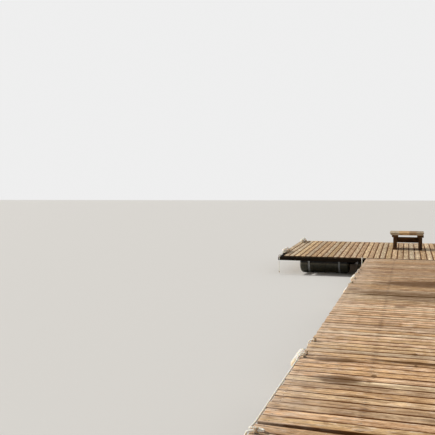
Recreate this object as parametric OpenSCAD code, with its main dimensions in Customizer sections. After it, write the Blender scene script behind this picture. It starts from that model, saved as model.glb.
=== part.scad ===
// Floating timber jetty: three walkway bays in line and a wide end platform with a bench.
// X runs across the walkway, Y along it towards the platform, Z up from the underside of the floats.
// The origin lies on the ground under the middle of the whole jetty.

/* [Deck boards] */
// Width of a deck board
board_w = 132; // [100:1:180]
// Thickness of a deck board
board_t = 38; // [28:1:50]
// Open gap between two boards
board_gap = 8.5; // [3:0.5:10]
// How far single board ends stand back from the edge
board_stagger = 9; // [0:1:15]

/* [Walkway] */
// Boards in one bay
boards_per_bay = 40; // [34:1:48]
// Length of the walkway boards, which is the width of the walkway
bay_w = 2300; // [2100:10:2600]
// Open gap between two bays
bay_gap = 65; // [62:1:90]
// Turn of the shore bay in its coupling, in degrees
shore_bay_yaw = 1.2; // [0:0.1:1.5]

/* [Platform] */
// Boards across the platform
platform_boards = 48; // [46:1:56]
// Length of the platform boards
platform_l = 3600; // [3500:10:4200]
// Trim of the platform, far edge up, in degrees
platform_trim = 2.2; // [0:0.1:2.6]
// How far its front and back beams stand proud of the board ends
beam_proud = 25; // [15:1:40]
// Length that is broken off the front of its left end board
broken_l = 560; // [300:10:900]

/* [Frame timbers] */
// Thickness of beams, stringers and joists
beam_w = 60; // [45:1:80]
// Depth of beams, stringers and joists
beam_h = 80; // [70:1:110]
// Overhang of the board ends past the outer stringers
edge_overhang = 40; // [20:1:80]
// Distance of the inner stringers from the middle line
inner_stringer_x = 480; // [420:5:540]
// Thickness of the float saddles
saddle_w = 56; // [40:1:60]
// Timber left in a saddle over the top of its float
saddle_web = 25; // [20:1:35]

/* [Floats] */
// Outer radius of the walkway floats
float_r = 210; // [190:1:225]
// Length of a float with its domed ends
float_l = 1300; // [1150:10:1400]
// Depth of the domed ends
dome_h = 75; // [50:1:100]
// Depth of the grooves that take saddle and strap
groove_d = 7; // [6:0.5:12]
// Width of these grooves
groove_w = 66; // [64:1:80]
// Distance of a groove from the middle of the float
groove_y = 390; // [300:5:420]
// Depth of the moulded panel recesses between the grooves
panel_d = 8; // [4:1:14]
// Width of the plain lands beside a panel
land_w = 60; // [40:1:90]
// Radius of the filler plug in a float's end
plug_r = 32; // [20:1:45]
// How deep the plug sits in the float's end
plug_sink = 4; // [2:0.5:10]
// Distance from a bay's end to the first float
float_end_gap = 480; // [400:10:600]
// Distance of the near float row from the platform's front
near_row_y = 650; // [600:10:700]
// Distance of the far float row from the platform's back
far_row_y = 650; // [600:10:700]
// Gap between two floats of one row on the platform
row_float_gap = 200; // [150:10:260]

/* [Straps] */
// Thickness of a float strap
strap_t = 5; // [4:0.5:6]
// Width of a float strap
strap_w = 50; // [40:1:56]

/* [Couplings] */
// Radius of the coupling pin
pin_r = 10; // [8:0.5:10]
// Play between the pin and its bores
pin_play = 0.7; // [0.7:0.05:0.9]
// Radius of the round end of a coupling lug
lug_r = 21; // [20:0.5:22]
// Thickness of the two fork lugs
fork_t = 10; // [8:1:14]
// Thickness of the eye between them
eye_t = 20; // [14:1:24]
// Play of the eye in the fork, above and below
eye_play = 5; // [3:0.5:6]
// Width of the flange on the end beam
flange_w = 180; // [140:5:240]
// Thickness of the flange
flange_t = 8; // [6:0.5:8]
// Distance of the rubber buffers from the middle line
buffer_x = 840; // [700:10:950]
// Length of a rubber buffer
buffer_l = 160; // [100:5:200]
// How far a buffer stands into the gap
buffer_t = 28; // [15:1:32]

/* [Bench] */
// Length of the seat
bench_l = 890; // [800:10:1200]
// Depth of the seat
bench_d = 600; // [400:5:640]
// Planks in the seat
seat_planks = 3; // [2:1:4]
// Height of the seat
bench_h = 470; // [420:5:520]
// Thickness of the seat planks
seat_t = 68; // [50:1:80]
// Gap between two seat planks
seat_gap = 14; // [8:1:20]
// Slope cut off each end of the seat
seat_bevel = 30; // [10:1:50]
// How far the seat sits to the left of its legs
seat_shift = 22; // [0:1:40]
// Thickness of a bench leg
leg_t = 95; // [70:1:120]
// Distance from the seat's end to the middle of a leg
leg_inset = 115; // [100:5:200]
// How far a leg stands back from the front and back of the seat
leg_setback = 35; // [20:1:60]
// Width of the cleat on top of a leg
cleat_w = 165; // [120:5:220]
// Height of this cleat
cleat_h = 60; // [40:1:80]
// Height of the stretcher board
stretcher_h = 150; // [100:5:180]
// Thickness of the stretcher board
stretcher_t = 34; // [24:1:45]
// Height of the stretcher over the deck
stretcher_z = 175; // [150:5:195]
// Place of the bench's middle across the platform
bench_x = -175; // [-600:5:600]
// Place of the bench's middle from the platform's front
bench_y = 2100; // [1900:10:2200]

/* [Fenders] */
// Radius of a fender
fender_r = 58; // [45:1:65]
// Length of a fender with its eyes
fender_l = 610; // [500:10:700]
// Radius of the eye's ring on its middle line
fender_eye_r = 22; // [18:1:26]
// Thickness of the eye's ring, as a radius
fender_eye_t = 8; // [6:0.5:9]
// Distance from the shore bay's far end back to the start of its fender
fender_1_back = 725; // [700:5:900]
// Start of the fender on the second bay
fender_2_y = 1795; // [1400:5:2400]
// Start of the near fender on the third bay
fender_3_y = 1155; // [600:5:1700]
// Start of the far fender on the third bay
fender_4_y = 2590; // [2500:5:3400]
// Depth under the deck at which the fenders of the first two bays hang
hang_depth = 120; // [100:5:160]
// Depth at which the near fender of the third bay hangs
low_hang_depth = 185; // [160:5:200]
// Depth at which the far fender of the third bay hangs
far_hang_depth = 140; // [100:5:160]
// Start of the fenders that lie on the platform's front corners
lying_y = 430; // [300:10:900]
// Start of the fenders that lie on its back corners
back_lying_y = 2925; // [2400:25:2950]
// How much further in from the sides the back ones lie
back_lying_in = 60; // [0:10:300]

/* [Ropes and eyes] */
// Radius of the ropes and lanyards
rope_r = 7; // [5:0.5:8]
// Radius of the two heavy mooring ropes
heavy_rope_r = 11; // [8:0.5:12]
// Radius of an eye plate's ring on its middle line
eye_ring_r = 15; // [14:0.5:20]
// Thickness of this ring, as a radius
eye_ring_t = 4; // [3:0.5:5]
// Distance of the eye plates from the deck's edge
eye_inset = 48; // [44:1:60]
// Radius of a mooring ring on its middle line
mooring_ring_r = 24; // [22:1:30]
// Thickness of this ring, as a radius
mooring_ring_t = 6; // [4:0.5:6]
// Distance of the corner mooring rings from the platform's sides
corner_ring_in = 34; // [30:1:60]

/* [Hidden] */
$fn = 48;
cut = 1;
bay_count = 3;
seat_clear = 0.3;
bay_l = boards_per_bay * board_w + (boards_per_bay - 1) * board_gap;
bay_step = bay_l + bay_gap;
frame_z = -board_t - beam_h;
beam_mid_z = -board_t - beam_h / 2;
half_w = bay_w / 2;
deck_z = 2 * float_r - groove_d + saddle_web + board_t;

// Run of the whole jetty, from the tip of the shore coupling to the back beam
platform_w = platform_boards * board_w + (platform_boards - 1) * board_gap;
platform_half = platform_w / 2;
near_y = -(bay_step * cos(shore_bay_yaw) + lug_r);
turn_y = bay_step * (bay_count - 1);
platform_off = beam_proud + bay_gap / 2;
platform_reach = platform_off + platform_l + beam_proud;
far_y = turn_y + platform_reach * cos(platform_trim) + beam_h / 2 * sin(platform_trim);
mid_y = (near_y + far_y) / 2;

// Stringers of a bay and the lanes between them that take the floats
outer_stringer_x = half_w - edge_overhang - beam_w / 2;
lane_in = inner_stringer_x + beam_w / 2;
lane_out = outer_stringer_x - beam_w / 2;
lane_x = (lane_in + lane_out) / 2;
lane_w = lane_out - lane_in;
bay_float_y = float_end_gap + float_l / 2;

// Joists and float rows of the platform
far_row = platform_l - far_row_y;
joist_off = lane_w / 2 + beam_w / 2;
joists_y = [near_row_y - joist_off, near_row_y + joist_off, (near_row_y + far_row) / 2,
            far_row - joist_off, far_row + joist_off];
row_step = float_l + row_float_gap;
row_x = [for (k = [-1.5, -0.5, 0.5, 1.5]) k * row_step];

// A float lies with its top in a saddle and its lowest line on the ground
function row_radius(y) = (deck_z + beam_mid_z + (platform_off + y) * sin(platform_trim)
    + (groove_d - saddle_web - board_t - beam_mid_z) * cos(platform_trim)) / (1 + cos(platform_trim));
near_row_r = row_radius(near_row_y);
far_row_r = row_radius(far_row);
dome_step = 15;
strap_step = 0.5;
function float_z(r) = -(board_t + saddle_web + r - groove_d);

// Coupling pin, in the middle of the gap between two bays
pin_y = bay_gap / 2;
fork_gap = eye_t + 2 * eye_play;
fork_span = fork_gap + 2 * fork_t;
bore_r = pin_r + pin_play;

// A fender hangs outside the boards' ends, from the middle of one eye to the middle of the other
fender_neck = 2 * (fender_eye_r + fender_eye_t);
fender_neck_r = fender_eye_t + 4;
fender_span = fender_l - fender_neck;
hang_gap = 2;
hang_x = half_w + fender_r + hang_gap;

// Walkway fenders: bay, start along the bay and depth under the deck
walk_fenders = [[1, bay_l - fender_1_back, hang_depth], [2, fender_2_y, hang_depth],
                [3, fender_3_y, low_hang_depth], [3, fender_4_y, far_hang_depth]];
// Platform fenders, which lie on it: distance from the middle line and start
front_lying = [platform_half - fender_r, lying_y];
back_lying = [platform_half - fender_r - back_lying_in, back_lying_y];

// Eye plates for the ropes, with their rings standing up, and the knots that fill the eyes
eye_base_t = 3;
eye_hole_z = eye_base_t + eye_ring_r + eye_ring_t / 2;
plate_knot_r = eye_ring_r - eye_ring_t - seat_clear;
fender_knot_r = fender_eye_r - fender_eye_t - seat_clear;
ring_knot_r = mooring_ring_r - mooring_ring_t - seat_clear;
knot_l = 9;
end_knot_r = 14;
heavy_knot_r = 19;
rope_sides = 8;

// Mooring rings on the ledge of the front beam
mooring_base_t = 4;
mooring_base_w = 64;
mooring_base_d = beam_proud - 2;
mooring_hole_z = mooring_base_t + mooring_ring_r + mooring_ring_t / 2;
corner_ring_x = platform_half - corner_ring_in;
inner_ring_x = 1250;

// Routes of the mooring ropes, in the frame of the platform, chosen by hand. Each ends in a knot.
corner_route = [[-3328, 430, 58], [-3319, 430, 58], [-3310, 430, 58], [-3301, 430, 58], [-3286, 426, 58],
                [-3275, 415, 57], [-3271, 400, 56], [-3273, 360, 52], [-3300, 200, 29], [-3326, 76, 12.5],
                [-3334, 4, 9], [-3334, -14, 2.5], [-3334, -34, -12], [-3334, -46, -36], [-3334, -50, -80],
                [-3334, -54, -200], [-3334, -61, -396], [-3334, -61, -408], [-3334, -61, -418],
                [-3334, -61, -428], [-3334, -61, -444]];
inner_route = [[-1250, -2, -7], [-1250, -6, -7], [-1250, -12.5, -7], [-1250, -20, -7], [-1250, -46, -13],
               [-1250, -64, -31], [-1250, -71, -57], [-1250, -73, -120], [-1250, -78, -260],
               [-1250, -83, -388], [-1250, -83, -402], [-1250, -83, -414], [-1250, -83, -426],
               [-1250, -83, -444]];

// Route of the edge rope, in the frame of bay 2, chosen by hand. Its x starts at the ends of the boards.
edge_points = [[-84, -215, -120], [-74, -215, -120], [-64, -215, -120], [-55, -215, -120],
               [-47, -215, -114], [-42, -215, -100], [-34, -215, -60], [-20, -215, -14],
               [-12, -215, 4], [0, -215, 10], [39, -215, 20], [48, -215, 20],
               [57, -215, 20], [74, -211, 18], [88, -196, 14], [90, -176, 10],
               [80, -158, 8], [56, -150, 8], [12, -149, 9], [-6, -144, 7], [-14, -126, -1],
               [-12, -80, -7], [-8.5, -20, -9], [-7.5, 40, -9], [-7.5, 900, -8],
               [-8, 1600, -6], [-8, 1636, 2], [0, 1668, 12], [18, 1688, 18],
               [38, 1699, 20], [48, 1700, 20], [58, 1700, 20]];
edge_route = [for (p = edge_points) [p.x - half_w, p.y, p.z]];
edge_eyes = [for (y = [-215, 1700]) [eye_inset - half_w, y, 0]];

// Places

// Frame of a walkway bay: y = 0 at its shore end, z = 0 on top of the boards
module at_bay(i) {
    translate([0, -mid_y, deck_z])
        if (i == 1)
            rotate([0, 0, -shore_bay_yaw]) translate([0, -bay_step + bay_gap / 2, 0]) children();
        else
            translate([0, (i - 2) * bay_step + bay_gap / 2, 0]) children();
}

// Frame of the platform, trimmed about its coupling: y = 0 at the boards' front ends, z = 0 on top of them
module at_platform() {
    translate([0, turn_y - mid_y, deck_z + beam_mid_z]) rotate([platform_trim, 0, 0])
        translate([0, platform_off, -beam_mid_z]) children();
}

// Turns a shape that stands along Z so that it runs from point a to point b
module along(a, b) {
    d = b - a;
    translate(a) rotate([0, acos(d.z / norm(d)), atan2(d.y, d.x)]) children();
}

// Directions along a list of points, and a side vector for each that turns as little as possible
function directions(points) =
    let (n = len(points) - 1)
    [for (i = [0:n]) let (d = points[min(i + 1, n)] - points[max(i - 1, 0)]) d / norm(d)];

function side_vectors(dirs, last, i = 0) =
    i == len(dirs) ? [] :
    let (v = last - (last * dirs[i]) * dirs[i], u = v / norm(v)) concat([u], side_vectors(dirs, u, i + 1));

// Rope of radius r along a list of points, thicker at its knots. A knot is the number of its middle point and
// its radius.
module rope(points, knots = [], r = rope_r) {
    n = len(points);
    dirs = directions(points);
    side = side_vectors(dirs, abs(dirs[0].z) < 0.9 ? [0, 0, 1] : [0, 1, 0]);
    radii = [for (i = [0:n - 1])
        max(concat([r], [for (k = knots) if (abs(i - k[0]) < 2) i == k[0] ? k[1] : (r + k[1]) / 2]))];
    rings = [for (i = [0:n - 1], k = [0:rope_sides - 1])
        let (a = 360 * k / rope_sides, out = cos(a) * side[i] + sin(a) * cross(dirs[i], side[i]))
            points[i] + radii[i] * out];
    walls = [for (i = [0:n - 2], k = [0:rope_sides - 1])
        let (m = (k + 1) % rope_sides, p = i * rope_sides, q = p + rope_sides) [p + k, q + k, q + m, p + m]];
    start = [for (k = [0:rope_sides - 1]) k];
    end = [for (k = [rope_sides - 1:-1:0]) (n - 1) * rope_sides + k];
    polyhedron(rings, concat([start], walls, [end]), convexity = 4);
}

// Ring of round bar in the XZ plane, with its centre at the origin
module ring(r, t) {
    rotate([90, 0, 0]) rotate_extrude() translate([r, 0]) circle(r = t, $fn = 16);
}

// How far the two ends of board i stand back from the edge
function stand_back(i, end) = board_stagger * (0.5 + 0.5 * sin(137 * i + 61 * end));

// Walkway bays

module deck_bay() {
    color("burlywood")
        for (i = [0:boards_per_bay - 1])
            let (a = stand_back(i, 0), b = stand_back(i, 1))
                translate([-half_w + a, i * (board_w + board_gap), -board_t])
                    cube([bay_w - a - b, board_w, board_t]);
}

module stringers_bay() {
    color("saddlebrown")
        for (x = [-outer_stringer_x, -inner_stringer_x, inner_stringer_x, outer_stringer_x])
            translate([x - beam_w / 2, beam_w, frame_z]) cube([beam_w, bay_l - 2 * beam_w, beam_h]);
}

module end_beams_bay() {
    w = 2 * outer_stringer_x + beam_w;
    color("saddlebrown")
        for (y = [0, bay_l - beam_w])
            translate([-w / 2, y, frame_z]) cube([w, beam_w, beam_h]);
}

// Timber block over a float that lies along Y, hollowed to the groove of the float
module saddle(r) {
    color("peru")
        difference() {
            translate([-lane_w / 2, -saddle_w / 2, frame_z]) cube([lane_w, saddle_w, beam_h]);
            translate([0, saddle_w / 2 + cut, float_z(r)]) rotate([90, 0, 0])
                cylinder(r = r - groove_d + seat_clear, h = saddle_w + 2 * cut, $fn = 96);
        }
}

// Half of a float's outline, as pairs of radius and distance from the middle: panel, groove, dome and plug
function float_side(r) =
    let (g0 = groove_y - groove_w / 2, g1 = groove_y + groove_w / 2, barrel = float_l / 2 - dome_h)
    concat([[r, land_w / 2], [r - panel_d, land_w / 2 + panel_d], [r - panel_d, g0 - land_w - panel_d],
            [r, g0 - land_w], [r, g0], [r - groove_d, g0], [r - groove_d, g1], [r, g1]],
           [for (a = [0:dome_step:90 - dome_step])
               [plug_r + (r - plug_r) * cos(a), barrel + dome_h * sin(a)]],
           [[plug_r, float_l / 2 - plug_sink], [0, float_l / 2 - plug_sink]]);

// Moulded float that lies along Y
module float_body(r) {
    side = float_side(r);
    n = len(side) - 1;
    color("dimgray")
        translate([0, 0, float_z(r)]) rotate([-90, 0, 0]) rotate_extrude($fn = 96)
            polygon(concat([for (i = [n:-1:0]) [side[i].x, -side[i].y]], side));
}

// Flat steel strap under a float that lies along Y, with a foot under each timber beside it
module strap(r) {
    ri = r - groove_d + seat_clear;
    ro = ri + strap_t;
    a = lane_w / 2;
    h = frame_z - float_z(r);
    lean = atan2(h, a) - acos(ri / norm([a, h]));
    n = [cos(lean), sin(lean)];
    t = [n.y, -n.x];
    lap = 3 * strap_t;
    far = 3 * r;
    color("silver")
        translate([0, strap_w / 2, float_z(r)]) rotate([90, 0, 0]) linear_extrude(strap_w) {
            difference() {
                circle(r = ro, $fn = 96);
                circle(r = ri, $fn = 96);
                polygon([[0, 0], far * n, [far, far], [-far, far], [-far * n.x, far * n.y]]);
            }
            for (m = [0, 1]) mirror([m, 0])
                polygon([(ri + strap_step) * n + lap * t, (ro - strap_step) * n + lap * t,
                         [a + strap_t, h - strap_t], [a + beam_w, h - strap_t], [a + beam_w, h], [a, h]]);
        }
}

// Places of the floats in a bay, and of the two grooves on each float
module float_places() {
    for (x = [-lane_x, lane_x], y = [bay_float_y, bay_l - bay_float_y])
        translate([x, y, 0]) children();
}

module groove_places() {
    for (y = [-groove_y, groove_y]) translate([0, y, 0]) children();
}

module floats_bay() {
    float_places() float_body(float_r);
}

module saddles_bay() {
    float_places() groove_places() saddle(float_r);
}

module straps_bay() {
    float_places() groove_places() strap(float_r);
}

// Platform

module platform_deck() {
    color("tan")
        for (i = [0:platform_boards - 1])
            let (a = i == 0 ? broken_l : stand_back(i, 0) / 2, b = stand_back(i, 1))
                translate([-platform_half + i * (board_w + board_gap), a, -board_t])
                    cube([board_w, platform_l - a - b, board_t]);
}

module platform_edge_beams() {
    color("saddlebrown")
        for (y = [-beam_proud, platform_l + beam_proud - beam_w])
            translate([-platform_half, y, frame_z]) cube([platform_w, beam_w, beam_h]);
}

module platform_end_beams() {
    y0 = beam_w - beam_proud;
    color("saddlebrown")
        for (x = [-platform_half, platform_half - beam_w])
            translate([x, y0, frame_z]) cube([beam_w, platform_l - 2 * y0, beam_h]);
}

module platform_joists() {
    color("saddlebrown")
        for (y = joists_y)
            translate([-platform_half + beam_w, y - beam_w / 2, frame_z])
                cube([platform_w - 2 * beam_w, beam_w, beam_h]);
}

// Places of the floats in one row of the platform, turned to lie across it
module row_places(y) {
    for (x = row_x) translate([x, y, 0]) rotate([0, 0, 90]) children();
}

module near_floats() {
    row_places(near_row_y) float_body(near_row_r);
}

module far_floats() {
    row_places(far_row) float_body(far_row_r);
}

module platform_saddles() {
    row_places(near_row_y) groove_places() saddle(near_row_r);
    row_places(far_row) groove_places() saddle(far_row_r);
}

module platform_straps() {
    row_places(near_row_y) groove_places() strap(near_row_r);
    row_places(far_row) groove_places() strap(far_row_r);
}

// Couplings between the bays, drawn with the flange on the face y = 0 and the pin at y = -pin_y

module flange() {
    translate([-flange_w / 2, -flange_t, beam_mid_z - beam_h / 2]) cube([flange_w, flange_t, beam_h]);
}

module lug(z, t) {
    difference() {
        translate([0, 0, z]) linear_extrude(t) {
            translate([0, -pin_y]) circle(r = lug_r, $fn = 64);
            translate([-lug_r, -pin_y]) square([2 * lug_r, pin_y - flange_t / 2]);
        }
        translate([0, -pin_y, z - cut]) cylinder(r = bore_r, h = t + 2 * cut);
    }
}

module fork() {
    color("slategray")
        union() {
            flange();
            lug(beam_mid_z + fork_gap / 2, fork_t);
            lug(beam_mid_z - fork_gap / 2 - fork_t, fork_t);
        }
}

module eye() {
    color("slategray")
        union() {
            flange();
            lug(beam_mid_z - eye_t / 2, eye_t);
        }
}

module pin() {
    head_r = bore_r + 5;
    head_t = 9;
    tail = 14;
    color("lightgray")
        translate([0, -pin_y, beam_mid_z]) {
            translate([0, 0, -fork_span / 2 - tail]) cylinder(r = pin_r, h = fork_span + tail);
            translate([0, 0, fork_span / 2]) cylinder(r = head_r, h = head_t);
        }
}

// Frames of the couplings: the far end of bay i, and the front beam of the platform
module far_end(i) {
    at_bay(i) translate([0, bay_l, 0]) rotate([0, 0, 180]) children();
}

module platform_front() {
    at_platform() translate([0, -beam_proud, 0]) children();
}

module coupling_forks() {
    for (i = [2:bay_count]) at_bay(i) fork();
    platform_front() fork();
}

module coupling_eyes() {
    for (i = [1:bay_count]) far_end(i) eye();
}

module coupling_pins() {
    for (i = [2:bay_count]) at_bay(i) pin();
    platform_front() pin();
}

// Rubber block with a rounded face
module buffer() {
    nose = 12;
    color("black")
        translate([-buffer_l / 2, 0, beam_mid_z]) rotate([0, 90, 0]) linear_extrude(buffer_l) {
            translate([-beam_h / 2, -buffer_t + nose]) square([beam_h, buffer_t - nose]);
            translate([-beam_h / 2 + nose, -buffer_t]) square([beam_h - 2 * nose, nose + cut]);
            for (x = [-beam_h / 2 + nose, beam_h / 2 - nose])
                translate([x, -buffer_t + nose]) circle(r = nose);
        }
}

module buffers() {
    for (i = [1:bay_count]) far_end(i)
        for (x = [-buffer_x, buffer_x]) translate([x, 0, 0]) buffer();
}

// Bench, drawn with its middle at the origin and the deck at z = 0

module at_bench() {
    at_platform() translate([bench_x, bench_y, 0]) children();
}

module bench_seat() {
    plank = (bench_d - (seat_planks - 1) * seat_gap) / seat_planks;
    h = bench_l / 2;
    color("tan")
        for (k = [1:seat_planks])
            translate([-seat_shift, k * plank + (k - 1) * seat_gap - bench_d / 2, bench_h])
                rotate([90, 0, 0]) linear_extrude(plank)
                    polygon([[-h, 0], [h, 0], [h - seat_bevel, -seat_t], [-h + seat_bevel, -seat_t]]);
}

module bench_legs() {
    leg_d = bench_d - 2 * leg_setback;
    top = bench_h - seat_t;
    color("sienna")
        for (side = [-1, 1])
            translate([side * (bench_l / 2 - leg_inset), -leg_d / 2, 0]) {
                translate([-leg_t / 2, 0, 0]) cube([leg_t, leg_d, top]);
                translate([-cleat_w / 2, 0, top - cleat_h]) cube([cleat_w, leg_d, cleat_h]);
            }
}

module bench_stretcher() {
    w = bench_l - 2 * leg_inset - leg_t;
    color("sienna")
        translate([-w / 2, -stretcher_t / 2, stretcher_z]) cube([w, stretcher_t, stretcher_h]);
}

// Fenders

// Fender that stands along Z from the middle of one eye to the middle of the other
module fender() {
    h = fender_span;
    collar = fender_neck / 2;
    shoulder = collar + fender_r;
    side = [[fender_neck_r, fender_eye_r], [fender_neck_r, collar], [0.75 * fender_r, collar + fender_r / 4],
            [0.94 * fender_r, collar + fender_r / 2], [fender_r, shoulder]];
    other_side = [for (i = [len(side) - 1:-1:0]) [side[i].x, h - side[i].y]];
    color("white") {
        rotate_extrude()
            polygon(concat([[0, fender_eye_r]], side, other_side, [[0, h - fender_eye_r]]));
        for (z = [0, h]) translate([0, 0, z]) ring(fender_eye_r, fender_eye_t);
    }
}

// Fender that lies along Y, with the middle of its near eye at the origin
module level_fender() {
    along([0, 0, 0], [0, fender_span, 0]) fender();
}

module fenders_walkway() {
    for (f = walk_fenders)
        at_bay(f[0]) translate([-hang_x, f[1], -f[2]]) level_fender();
}

// Calls its children once for each side of the platform
module both_sides() {
    at_platform() for (m = [0, 1]) mirror([m, 0, 0]) children();
}

module fenders_platform() {
    both_sides()
        for (f = [front_lying, back_lying]) translate([-f.x, f.y, fender_r]) level_fender();
}

// Eye plate with its hole along X, standing on the deck
module eye_plate() {
    cylinder(r = eye_ring_r + eye_ring_t, h = eye_base_t);
    translate([0, 0, eye_hole_z]) rotate([0, 0, 90]) ring(eye_ring_r, eye_ring_t);
}

// Part of a lanyard inside the ring of an eye plate at x, from its inner end
function in_plate(x, y) = [for (k = [2, 1, 0, -1]) [x + k * knot_l, y, eye_hole_z]];

// Part of a lanyard inside a fender's eye at x and height z, up to its outer end
function in_eye(x, y, z) = [for (k = [1, 0, -1, -2]) [x + k * knot_l, y, z]];

// Lanyard from an eye plate over the edge of the deck to the eye of a fender outside
module lanyard(y, depth) {
    over_edge = [[-half_w + 4, y, 10], [-half_w - 8, y, 4], [-half_w - 16, y, -14], [-half_w - 30, y, -70],
                 [-hang_x + 23, y, 20 - depth], [-hang_x + 18, y, 6 - depth]];
    rope(concat(in_plate(-half_w + eye_inset, y), over_edge, in_eye(-hang_x, y, -depth)),
         [[2, plate_knot_r], [11, fender_knot_r]]);
}

// Lanyard between an eye of a fender that lies on the platform and the eye plate beside it
module lying_lanyard(x, y) {
    up = [[-x + eye_inset - 20, y, eye_hole_z + 10], [-x + 18, y, fender_r - 10]];
    rope(concat(in_plate(-x + eye_inset, y), up, in_eye(-x, y, fender_r)),
         [[2, plate_knot_r], [7, fender_knot_r]]);
}

// Ends of the fenders that hang from the walkway: bay, place along the bay and depth. The edge rope holds the
// far end of the first one.
walk_eyes = [for (f = walk_fenders, e = [0, 1]) if (f[0] > 1 || e == 0) [f[0], f[1] + e * fender_span, f[2]]];

// Ends of the fenders that lie on the platform. The corner mooring ropes hold the near ends of the front
// ones.
lying_eyes = [front_lying + [0, fender_span], back_lying, back_lying + [0, fender_span]];

module fender_lanyards() {
    color("ivory") {
        for (p = walk_eyes) at_bay(p[0]) lanyard(p[1], p[2]);
        both_sides()
            for (p = lying_eyes) lying_lanyard(p.x, p.y);
    }
}

module rope_eyes() {
    color("silver") {
        for (p = walk_eyes) at_bay(p[0]) translate([-half_w + eye_inset, p[1], 0]) eye_plate();
        both_sides()
            for (p = lying_eyes) translate([-p.x + eye_inset, p.y, 0]) eye_plate();
        for (p = edge_eyes) at_bay(2) translate(p) eye_plate();
    }
}

module mooring_rings() {
    color("silver")
        both_sides()
            for (x = [corner_ring_x, inner_ring_x])
                translate([-x, -beam_proud / 2, -board_t]) {
                    translate([-mooring_base_w / 2, -mooring_base_d / 2, 0])
                        cube([mooring_base_w, mooring_base_d, mooring_base_t]);
                    translate([0, 0, mooring_hole_z]) ring(mooring_ring_r, mooring_ring_t);
                }
}

module mooring_ropes() {
    color("ivory")
        both_sides() {
            rope(corner_route, [[2, fender_knot_r], [18, end_knot_r]]);
            rope(inner_route, [[2, ring_knot_r], [11, heavy_knot_r]], heavy_rope_r);
        }
}

module edge_rope() {
    color("ivory") at_bay(2) rope(edge_route, [[2, fender_knot_r], [11, plate_knot_r], [30, plate_knot_r]]);
}

at_bay(1) deck_bay();  // deck_bay_1
at_bay(2) deck_bay();  // deck_bay_2
at_bay(3) deck_bay();  // deck_bay_3
at_bay(1) stringers_bay();  // stringers_bay_1
at_bay(2) stringers_bay();  // stringers_bay_2
at_bay(3) stringers_bay();  // stringers_bay_3
at_bay(1) end_beams_bay();  // end_beams_bay_1
at_bay(2) end_beams_bay();  // end_beams_bay_2
at_bay(3) end_beams_bay();  // end_beams_bay_3
at_bay(1) saddles_bay();  // saddles_bay_1
at_bay(2) saddles_bay();  // saddles_bay_2
at_bay(3) saddles_bay();  // saddles_bay_3
at_bay(1) floats_bay();  // floats_bay_1
at_bay(2) floats_bay();  // floats_bay_2
at_bay(3) floats_bay();  // floats_bay_3
at_bay(1) straps_bay();  // straps_bay_1
at_bay(2) straps_bay();  // straps_bay_2
at_bay(3) straps_bay();  // straps_bay_3
at_platform() platform_deck();
at_platform() platform_edge_beams();
at_platform() platform_end_beams();
at_platform() platform_joists();
at_platform() platform_saddles();
at_platform() near_floats();
at_platform() far_floats();
at_platform() platform_straps();
at_bay(1) fork();  // shore_fork
coupling_forks();
coupling_eyes();
coupling_pins();
buffers();
at_bench() bench_seat();
at_bench() bench_legs();
at_bench() bench_stretcher();
fenders_walkway();
fenders_platform();
fender_lanyards();
rope_eyes();
mooring_rings();
mooring_ropes();
edge_rope();
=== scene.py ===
"""Looks of the floating timber jetty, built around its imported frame. Lengths are in metres."""
import math

import bpy
import numpy as np
from mathutils import Matrix, Vector


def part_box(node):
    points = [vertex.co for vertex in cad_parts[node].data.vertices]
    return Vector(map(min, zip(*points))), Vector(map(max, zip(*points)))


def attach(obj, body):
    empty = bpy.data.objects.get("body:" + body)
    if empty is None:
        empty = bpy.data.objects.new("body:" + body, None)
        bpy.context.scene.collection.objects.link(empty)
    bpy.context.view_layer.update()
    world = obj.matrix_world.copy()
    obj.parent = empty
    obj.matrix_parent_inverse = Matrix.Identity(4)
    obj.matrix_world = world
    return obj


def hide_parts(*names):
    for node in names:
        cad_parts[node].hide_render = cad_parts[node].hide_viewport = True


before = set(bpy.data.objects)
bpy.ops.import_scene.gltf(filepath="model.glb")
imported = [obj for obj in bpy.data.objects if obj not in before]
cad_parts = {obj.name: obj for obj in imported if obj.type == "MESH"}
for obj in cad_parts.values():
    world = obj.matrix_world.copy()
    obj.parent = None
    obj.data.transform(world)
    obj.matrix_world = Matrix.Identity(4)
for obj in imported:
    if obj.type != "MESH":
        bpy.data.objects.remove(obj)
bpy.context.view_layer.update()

# Boards of the deck. What is drawn stays a hair inside its solid.
BOARD_W = 0.132
BOARD_T = 0.038
BOARD_GAP = 0.0085
PITCH = BOARD_W + BOARD_GAP
STAGGER = 0.009
HAIR = 0.0004
DRAWN_W = BOARD_W - HAIR

# Least and most that a board is hollowed and has sunk, and its turns in degrees
CUP = (0.0004, 0.0018)
SUNK = (0.0004, 0.0022)
WALKWAY_TILT, WALKWAY_TWIST = 0.04, 0.35
PLATFORM_TILT, PLATFORM_TWIST = 0.02, 0.28

# How much the boards of each bay differ in tone
TONE_SPREAD = {1: 1.1, 2: 1.1, 3: 2.0}

# Bays of the walkway
BAY_BOARDS = 40
BAY_W = 2.3
BAY_GAP = 0.065
BAY_L = BAY_BOARDS * PITCH - BOARD_GAP
BAY_STEP = BAY_L + BAY_GAP
SHORE_YAW = 1.2

# Platform. Its left end board is broken off over the length BROKEN.
PLATFORM_BOARDS = 48
PLATFORM_L = 3.6
PLATFORM_HALF = (PLATFORM_BOARDS * PITCH - BOARD_GAP) / 2
TRIM = 2.2
PROUD = 0.025
BROKEN = 0.56
BROKEN_JAG = 0.05

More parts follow.
